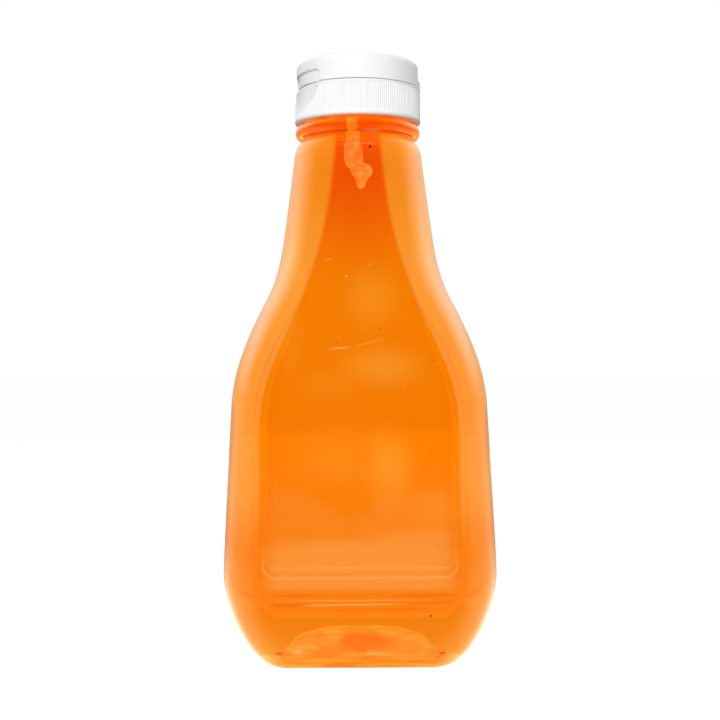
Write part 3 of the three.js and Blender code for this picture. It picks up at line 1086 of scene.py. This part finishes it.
class MESH_OT_honey_fill(bpy.types.Operator):
    """The honey, up to just under the cap, reaching just into the wall."""

    bl_idname = "mesh.squeeze_bottle_honey"
    bl_label = "Honey"

    def execute(self, context):
        sizes = settings().body
        inset = (sizes.wall - sizes.fill_reach) / MM
        reach = sizes.fill_reach / MM
        rows = body_rows(inset)
        rows += [round_row(r + reach, z) for r, z in smooth_rounds(BORE_ENTRY, 3)]
        rows += [round_row(BORE_RADIUS + reach, HONEY_TOP_Z)]
        rows += [round_row(0.01, HONEY_TOP_Z)]
        rings = [section(row, sizes.corner_steps) for row in rows]
        piece = raise_rings("honey_fill", rings)
        # Painted shade through the flat faces
        paint(piece, "funnel_shade", funnel_shade_share)
        # Painted light in pale patches near the front
        paint(piece, "patch_glow", patch_glow_share)
        shade(piece, 50)
        finish_piece(piece, [honey_finish(), bottom_finish(), rim_finish()], "honey")
        for face in piece.data.polygons:
            if is_on_push_up(face.center / MM, face.normal):
                face.material_index = 1
            elif face.center.z < RIM_Z * MM:
                face.material_index = 2
        return {"FINISHED"}


# The bubble's stem and lump, each from its top down: (height, half width, middle) in millimetres
BUBBLE_STEM = [
    (170.9, 0.8, -1.6), (170.5, 1.6, -1.6), (168.6, 1.7, -1.6), (167.6, 2.4, -1.5), (166.4, 2.4, -1.5),
    (165.4, 1.8, -1.4), (163.4, 1.9, -1.4), (162.4, 2.8, -1.4), (158.5, 2.8, -1.3), (156.4, 2.7, -1.0),
    (155.2, 2.3, -0.5), (154.6, 0.8, -0.2),
]
BUBBLE_LUMP = [
    (156.8, 0.6, 0.9), (156.4, 2.3, 1.0), (155.4, 3.2, 1.0), (154.3, 3.4, 1.0), (153.2, 3.0, 1.1),
    (152.2, 2.0, 1.1), (150.8, 1.5, 1.0), (149.6, 1.2, 0.9), (148.6, 0.5, 0.8),
]
BUBBLE_LUMP_Z = 157
BUBBLE_SIDES = 28
BUBBLE_DEPTH = 3.2
BUBBLE_FLATNESS = 0.45


def bubble_stretch(name, stations, unevenness):
    """A closed, flattened and slightly wavy body through stations of (height, half width, middle)."""
    rings = []
    for z, half, middle in stations:
        radius = BORE_RADIUS if z > BORE_ENTRY_Z + 8 else profile(HALF_DEPTH, z) - settings().body.wall / MM
        ring = []
        for i in range(BUBBLE_SIDES):
            turn = 2 * math.pi * i / BUBBLE_SIDES
            wave = 1 + unevenness * (math.sin(5 * turn + z) + 0.6 * math.sin(11 * turn - 2 * z))
            x = middle + half * wave * math.cos(turn)
            y = BUBBLE_DEPTH - radius + BUBBLE_FLATNESS * half * wave * math.sin(turn)
            ring.append(Vector((x, y, z)) * MM)
        rings.append(ring)
    piece = raise_rings(name, rings)
    pick(piece)
    bpy.ops.object.mode_set(mode="EDIT")
    bpy.ops.mesh.select_all(action="DESELECT")
    bpy.ops.mesh.select_non_manifold()
    bpy.ops.mesh.fill_holes(sides=0)
    bpy.ops.mesh.select_all(action="SELECT")
    bpy.ops.mesh.normals_make_consistent(inside=False)
    bpy.ops.object.mode_set(mode="OBJECT")
    smoother = piece.modifiers.new("round", "SUBSURF")
    smoother.levels = smoother.render_levels = 1
    bpy.ops.object.modifier_apply(modifier=smoother.name)
    return piece


class MESH_OT_air_bubble(bpy.types.Operator):
    """The long air bubble caught in the neck, close behind the front wall: a stem and a frothy lump."""

    bl_idname = "mesh.squeeze_bottle_bubble"
    bl_label = "Air Bubble"

    def execute(self, context):
        lump = bubble_stretch("bubble_lump", BUBBLE_LUMP, 0.07)
        stem = bubble_stretch("air_bubble", BUBBLE_STEM, 0.02)
        stem = join([stem, lump], "air_bubble")
        shade(stem)
        finish_piece(stem, [bubble_finish()], None)
        return {"FINISHED"}


SPECK_SEED = 7
SPECKS = 10
PALE_SPECKS = [(-3.8, 121.4, 0.36), (24.2, 94.3, 0.2), (-6.3, 102.4, 0.24), (3.4, 125, 0.2)]
SPECK_SIZES = (0.1, 0.22)
SPECK_HEIGHTS = (40, 150)
SPECK_DEPTHS = (2, 6)
PALE_DEPTH = 2.2
DARK_DEPTH = 1.6
GRAIN_UNEVENNESS = 0.25
DARK_SPECKS = [(3.7, 161.7, 0.42), (21.5, 17.1, 0.3), (6.4, 105, 0.2)]


def scatter(name, places):
    """Small uneven grains, joined into one piece; each place is (middle, radius) in millimetres."""
    grains = []
    for (x, y, z), radius in places:
        deselect_all()
        place = Vector((x, y, z)) * MM
        bpy.ops.mesh.primitive_ico_sphere_add(subdivisions=2, radius=radius * MM, location=place)
        grain = bpy.context.object
        for vertex in grain.data.vertices:
            along, up = vertex.co.x / (radius * MM), vertex.co.z / (radius * MM)
            vertex.co *= 1 + GRAIN_UNEVENNESS * math.sin(7 * along + 5 * up)
        grains.append(grain)
    piece = join(grains, name)
    bpy.ops.object.transform_apply(location=True, rotation=True, scale=True)
    shade(piece)
    return piece


def front_wall_y(z, depth):
    """The place of a depth behind the front wall, at a height."""
    return -(profile(HALF_DEPTH, z) - depth)


class MESH_OT_honey_specks(bpy.types.Operator):
    """Tiny air bubbles in the honey, and the few dark specks."""

    bl_idname = "mesh.squeeze_bottle_specks"
    bl_label = "Specks"

    def execute(self, context):
        draw = random.Random(SPECK_SEED)
        places = []
        for _ in range(SPECKS):
            z = draw.uniform(*SPECK_HEIGHTS)
            x = draw.uniform(-0.75, 0.75) * profile(HALF_FLAT, z)
            places.append(((x, front_wall_y(z, draw.uniform(*SPECK_DEPTHS)), z), draw.uniform(*SPECK_SIZES)))
        places += [((x, front_wall_y(z, PALE_DEPTH), z), r) for x, z, r in PALE_SPECKS]
        pale = scatter("small_bubbles", places)
        finish_piece(pale, [bubble_finish()], None)
        dark = scatter("dark_specks", [((x, front_wall_y(z, DARK_DEPTH), z), r) for x, z, r in DARK_SPECKS])
        finish_piece(dark, [speck_finish()], None)
        return {"FINISHED"}


# The straps, as (degrees from the middle one, width in millimetres)
STRAPS = ((-8.2, 4.4), (0, 3.2), (8.2, 4.4))
STRAP_THICK = 1.1
STRAP_ROUND = 0.5


class MESH_OT_cap_hinge(bpy.types.Operator):
    """The living hinge: three rounded straps that join the lid to the skirt."""

    bl_idname = "mesh.squeeze_bottle_hinge"
    bl_label = "Cap Hinge"

    def execute(self, context):
        straps = []
        middle = (STRAP_LOW_Z + STRAP_HIGH_Z) / 2
        for shift, width in STRAPS:
            turn = math.radians(HINGE_ANGLE + shift)
            reach = STRAP_OUTER - STRAP_THICK / 2
            place = Vector((reach * math.cos(turn), reach * math.sin(turn), middle)) * MM
            deselect_all()
            bpy.ops.mesh.primitive_cube_add(size=1, location=place, rotation=(0, 0, turn))
            strap = bpy.context.object
            strap.scale = Vector((STRAP_THICK, width, STRAP_HIGH_Z - STRAP_LOW_Z)) * MM
            bpy.ops.object.transform_apply(location=True, rotation=True, scale=True)
            bpy.ops.object.mode_set(mode="EDIT")
            bpy.ops.mesh.select_all(action="SELECT")
            bpy.ops.mesh.bevel(offset=STRAP_ROUND * MM, segments=5)
            bpy.ops.object.mode_set(mode="OBJECT")
            straps.append(strap)
        piece = join(straps, "cap_hinge")
        shade(piece, 40)
        finish_piece(piece, [cap_finish("hinge white plastic", 0.3)], None)
        return {"FINISHED"}


SKIRT_TOP_Z = PARTING_Z - 0.3
SKIRT_COLUMNS_PER_RIB = 4
SIDE_STEPS = 22
RIB_LOW_Z = CAP_FOOT_Z + FOOT_CHAMFER + 0.15
SCOOP_SOFTNESS = 0.12
EDGE_ROUND = 0.25


def round_ring(radius, z, count, cut=None):
    """A ring of the cap in metres; cut(angle, z) says how far it is drawn in, in millimetres."""
    ring = []
    for i in range(count):
        angle = 360 * i / count
        reach = radius - (cut(angle, z) if cut else 0.0)
        turn = math.radians(angle)
        ring.append(Vector((reach * math.cos(turn), reach * math.sin(turn), z)) * MM)
    return ring


def edge_rings(radius, z, rounding, turns, count, cut=None, upper=False):
    """Rings round a rounded outer edge, going up, at turns in degrees from its start."""
    rings = []
    for turn in map(math.radians, turns):
        start, end = rounding * (1 - math.sin(turn)), rounding * (1 - math.cos(turn))
        place = (radius - end, z - start) if upper else (radius - start, z + end)
        rings.append(round_ring(*place, count, cut))
    return rings


def scoop_share(angle, z):
    """1 in the middle of the thumb scoop, 0 at its edge, below 0 outside."""
    across = (angle - THUMB_ANGLE) / THUMB_HALF_ANGLE
    down = (PARTING_Z - z) / THUMB_DROP
    return 1 - across ** 2 - down ** 2


def near_strap(angle, z, half_angle, low_z):
    """1 on the plain field round the hinge strap, 0 away from it."""
    away = abs((angle - HINGE_ANGLE + 180) % 360 - 180)
    return (1 - smoothstep(away, half_angle, half_angle + 1.5)) * smoothstep(z, low_z - 0.6, low_z)


class MESH_OT_cap_skirt(bpy.types.Operator):
    """The cap's skirt: fine upright ribs between plain bands, and the thumb scoop."""

    bl_idname = "mesh.squeeze_bottle_skirt"
    bl_label = "Cap Skirt"

    def execute(self, context):
        sizes = settings().cap
        count = sizes.ribs * SKIRT_COLUMNS_PER_RIB
        top_z = SKIRT_TOP_Z
        depth = sizes.rib_depth / MM
        band_z = top_z - sizes.smooth_band / MM

        def relief(angle, z):
            share = scoop_share(angle, z)
            cut = SCOOP_DEPTH * math.sqrt(max(share, 0.0))
            column = round(angle / 360 * count) % SKIRT_COLUMNS_PER_RIB
            groove = depth if column >= SKIRT_COLUMNS_PER_RIB // 2 else 0.0
            groove *= smoothstep(z, RIB_LOW_Z, RIB_LOW_Z + 0.25) * (1 - smoothstep(z, band_z - 0.2, band_z))
            groove *= 1 - smoothstep(share, -SCOOP_SOFTNESS, SCOOP_SOFTNESS)
            groove *= 1 - near_strap(angle, z, STRAP_HALF_ANGLE + 1, STRAP_LOW_Z - 1)
            return cut + groove

        heights = [CAP_FOOT_Z + FOOT_CHAMFER + 0.05, RIB_LOW_Z, RIB_LOW_Z + 0.12, RIB_LOW_Z + 0.25]
        low = heights[-1]
        heights += [lerp(low, band_z - 0.2, i / SIDE_STEPS) for i in range(1, SIDE_STEPS + 1)]
        heights += [band_z - 0.1, band_z, top_z - EDGE_ROUND]
        rings = [
            point_ring(top_z - DECK, count),
            round_ring(SKIRT_BORE - 0.2, top_z - DECK, count),
            round_ring(SKIRT_BORE, top_z - DECK - 0.2, count),
            round_ring(SKIRT_BORE, CAP_FOOT_Z + 0.3, count),
            round_ring(SKIRT_BORE + 0.25, CAP_FOOT_Z, count),
            round_ring(SKIRT_FOOT_RADIUS - FOOT_CHAMFER, CAP_FOOT_Z, count),
        ]
        rings += edge_rings(SKIRT_FOOT_RADIUS, CAP_FOOT_Z, FOOT_CHAMFER, range(18, 91, 18), count)
        for z in heights:
            rise = (z - CAP_FOOT_Z) / (top_z - CAP_FOOT_Z)
            rings.append(round_ring(lerp(SKIRT_FOOT_RADIUS, SKIRT_RADIUS, rise), z, count, relief))
        rings += edge_rings(SKIRT_RADIUS, top_z, EDGE_ROUND, (30, 60, 90), count, relief, upper=True)
        rings.append(round_ring(SKIRT_RADIUS - 1.6, top_z, count))
        rings.append(point_ring(top_z, count))
        piece = raise_rings("cap_skirt_ribbed", rings)
        shade(piece, 40)
        finish_piece(piece, [cap_finish("ribbed white plastic", 0.34)], "cap_skirt")
        return {"FINISHED"}


LID_COLUMNS = 720
# The lid's shallow dished top, as (radius, drop) going in
LID_DISH = ((17.2, 0.02), (16.6, 0.12), (16.0, 0.24), (14, 0.3), (8, 0.3), (2, 0.3))
NOTCH_CORNER = 1.3
NOTCH_EDGE = 0.3


def notch_share(angle, z):
    """1 inside the lid's thumb recess and 0 outside, with rounded upper corners."""
    arc = math.radians(abs(angle - THUMB_ANGLE)) * LID_RADIUS
    half = math.radians(THUMB_HALF_ANGLE) * LID_RADIUS
    across = arc - (half - NOTCH_CORNER)
    up = z - (NOTCH_TOP_Z - NOTCH_CORNER)
    outside = math.hypot(max(across, 0), max(up, 0)) + min(max(across, up), 0)
    return 1 - smoothstep(outside - NOTCH_CORNER, -NOTCH_EDGE, NOTCH_EDGE)


class MESH_OT_cap_lid(bpy.types.Operator):
    """The flip lid: plain side with the thumb recess, soft top edge and a shallow dished top."""

    bl_idname = "mesh.squeeze_bottle_lid"
    bl_label = "Cap Lid"

    def execute(self, context):
        count = LID_COLUMNS

        def relief(angle, z):
            return NOTCH_DEPTH * notch_share(angle, z)

        rings = [point_ring(PARTING_Z, count), round_ring(LID_RADIUS - 1.2, PARTING_Z, count)]
        rings += edge_rings(LID_RADIUS, PARTING_Z, EDGE_ROUND, (0, 30, 60, 90), count, relief)
        low, high = PARTING_Z + EDGE_ROUND, NOTCH_TOP_Z + NOTCH_EDGE
        for i in range(1, SIDE_STEPS + 1):
            rings.append(round_ring(LID_RADIUS, lerp(low, high, i / SIDE_STEPS), count, relief))
        rings += edge_rings(LID_RADIUS, CAP_TOP_Z, LID_ROUND, range(0, 91, 9), count, upper=True)
        rings += [round_ring(radius, CAP_TOP_Z - drop, count) for radius, drop in LID_DISH]
        rings.append(point_ring(CAP_TOP_Z - LID_DISH[-1][1], count))
        piece = raise_rings("cap_lid_top", rings)
        shade(piece, 40)
        finish_piece(piece, [cap_finish("smooth white plastic", 0.28)], "cap_lid")
        return {"FINISHED"}


LIGHT_BOUNCES = 32
RAY_KINDS = ("Camera", "Transmission", "Glossy")
FLOOR_GLOW = 0.97
FLOOR_LIGHT = 0.3
FLOOR_GREY = 0.06
TABLE_RADIUS = 0.277
ROOM_GLOW = 0.3
SEEN_THROUGH = 0.99
SIDE_WHITE = 2.0
SIDE_DIM = 1.0
SIDE_NEAR = 1.5
WARM_SIDES = (1.0, 0.78, 0.5)
FRONT_TABLE = 0.38
FLOOR_RADIUS = 6.0
AIM_HEIGHT = 0.14
# Each light, as (name, place, width, power)
LIGHTS = (
    ("key softbox", (-0.13, -0.95, 0.42), 0.5, 8.6),
    ("back softbox", (0.13, 0.95, 0.42), 0.5, 8.6),
    ("top softbox", (0.15, -0.25, 1.0), 0.6, 0.5),
)
CAMERA_ROLL = 0.324
FRAME_PIXELS = 720


def light_paths(tree):
    """Whether a ray comes from the camera, through glass, or off a glossy surface."""
    node = tree.nodes.new("ShaderNodeLightPath")
    camera, through, glossy = [Wire(tree, node.outputs[f"Is {kind} Ray"]) for kind in RAY_KINDS]
    return camera, through, glossy * (1 - through)


def floor_finish():
    """A pale glowing floor; reflections find it bright beside the bottle, dimmer in front, then dark."""
    finish = Finish("pale floor", Base_Color=(*[FLOOR_GREY] * 3, 1), Specular_IOR_Level=0.0)
    x, y = finish.axis("X"), finish.axis("Y")
    away = finish.node("ShaderNodeVectorMath", {"operation": "LENGTH"}, {0: finish.place}, "Value")
    camera, through, glossy = light_paths(finish.tree)
    beside = (x.size() / away).between(0.45, 0.85)
    near = SIDE_NEAR + (SIDE_DIM - SIDE_NEAR) * away.between(0.06, 0.25)
    front = FRONT_TABLE * (1 - (-1 * y).between(TABLE_RADIUS - 0.01, TABLE_RADIUS + 0.01))
    reflected = front + beside * (near - front)
    glow = FLOOR_LIGHT + (FLOOR_GLOW - FLOOR_LIGHT) * camera
    glow = glow + (SEEN_THROUGH - FLOOR_LIGHT) * through + glossy * (reflected - FLOOR_LIGHT)
    shade = finish.blend(glossy, (1, 1, 1), WARM_SIDES)
    finish.glow(finish.node("ShaderNodeVectorMath", {"operation": "SCALE"}, {0: shade, "Scale": glow}))
    return finish


def studio_world():
    """White for the eye and through glass; reflections find a dark room in front and white beside it."""
    world = bpy.data.worlds.new("white studio")
    world.use_nodes = True
    tree = world.node_tree
    tree.nodes.clear()
    camera, through, glossy = light_paths(tree)
    way = add_node(tree, "ShaderNodeTexCoord", None, None, "Generated")
    y, z = [add_node(tree, "ShaderNodeSeparateXYZ", None, {0: way}, name) for name in "YZ"]
    high = SIDE_DIM + (SIDE_WHITE - SIDE_DIM) * z.between(0.04, 0.35)
    reflected = high * (1 - (-1 * y).between(-0.45, 0.3)) * (1 - 0.4 * y.between(0.5, 0.95))
    strength = ROOM_GLOW + (1 - ROOM_GLOW) * camera
    strength = strength + (SEEN_THROUGH - ROOM_GLOW) * through + glossy * (reflected - ROOM_GLOW)
    warmth = glossy * (1 - z.between(0.04, 0.3))
    shades = blend(tree, warmth, (1, 1, 1), WARM_SIDES)
    surround = add_node(tree, "ShaderNodeBackground", None, {"Color": shades, "Strength": strength})
    out = tree.nodes.new("ShaderNodeOutputWorld")
    tree.links.new(surround.socket, out.inputs["Surface"])
    return world


class SCENE_OT_bottle_stage(bpy.types.Operator):
    """Floor, light and camera."""

    bl_idname = "scene.squeeze_bottle_stage"
    bl_label = "Stage"

    def execute(self, context):
        sizes = settings().stage
        deselect_all()
        bpy.ops.mesh.primitive_circle_add(vertices=96, radius=FLOOR_RADIUS, fill_type="NGON")
        floor = bpy.context.object
        floor.name = "floor"
        floor.data.materials.append(floor_finish().material)
        context.scene.world = studio_world()
        context.scene.cycles.max_bounces = LIGHT_BOUNCES
        context.scene.cycles.transmission_bounces = LIGHT_BOUNCES
        context.scene.cycles.glossy_bounces = LIGHT_BOUNCES

        for name, place, size, power in LIGHTS:
            deselect_all()
            bpy.ops.object.light_add(type="AREA", location=place)
            light = bpy.context.object
            light.name = name
            light.data.shape = "DISK"
            light.data.size = size
            light.data.energy = power
            light.visible_camera = light.visible_transmission = light.visible_glossy = False
            aim = Vector((0, 0, AIM_HEIGHT)) - Vector(place)
            light.rotation_euler = aim.to_track_quat("-Z", "Y").to_euler()

        data = bpy.data.cameras.new("camera")
        camera = bpy.data.objects.new("camera", data)
        context.scene.collection.objects.link(camera)
        camera.location = (0, -sizes.camera_distance, sizes.camera_height)
        camera.rotation_euler = (math.radians(90), math.radians(CAMERA_ROLL), 0)
        data.lens = sizes.lens
        data.sensor_width = 36
        data.shift_x = 1.0 / FRAME_PIXELS
        data.clip_start = 0.01
        context.scene.camera = camera
        context.scene.view_settings.view_transform = "Standard"
        return {"FINISHED"}


class VIEW3D_PT_squeeze_bottle(bpy.types.Panel):
    """The steps that build the bottle, in order."""

    bl_label = "Squeeze Bottle"
    bl_space_type = "VIEW_3D"
    bl_region_type = "UI"
    bl_category = "Bottle"

    def draw(self, context):
        for step in STEPS:
            self.layout.operator(step.bl_idname)


STEPS = (
    MESH_OT_bottle_wall,
    MESH_OT_honey_fill,
    MESH_OT_air_bubble,
    MESH_OT_honey_specks,
    MESH_OT_cap_skirt,
    MESH_OT_cap_lid,
    MESH_OT_cap_hinge,
    SCENE_OT_bottle_stage,
)
CLASSES = (BottleSizes, CapSizes, Finishes, StageSizes, BottleScene, *STEPS, VIEW3D_PT_squeeze_bottle)


def register():
    for cls in CLASSES:
        bpy.utils.register_class(cls)
    bpy.types.Scene.squeeze_bottle = PointerProperty(type=BottleScene)


def unregister():
    del bpy.types.Scene.squeeze_bottle
    for cls in reversed(CLASSES):
        bpy.utils.unregister_class(cls)


def main():
    register()
    for step in STEPS:
        group, name = step.bl_idname.split(".")
        getattr(getattr(bpy.ops, group), name)()


if __name__ == "__main__":
    main()
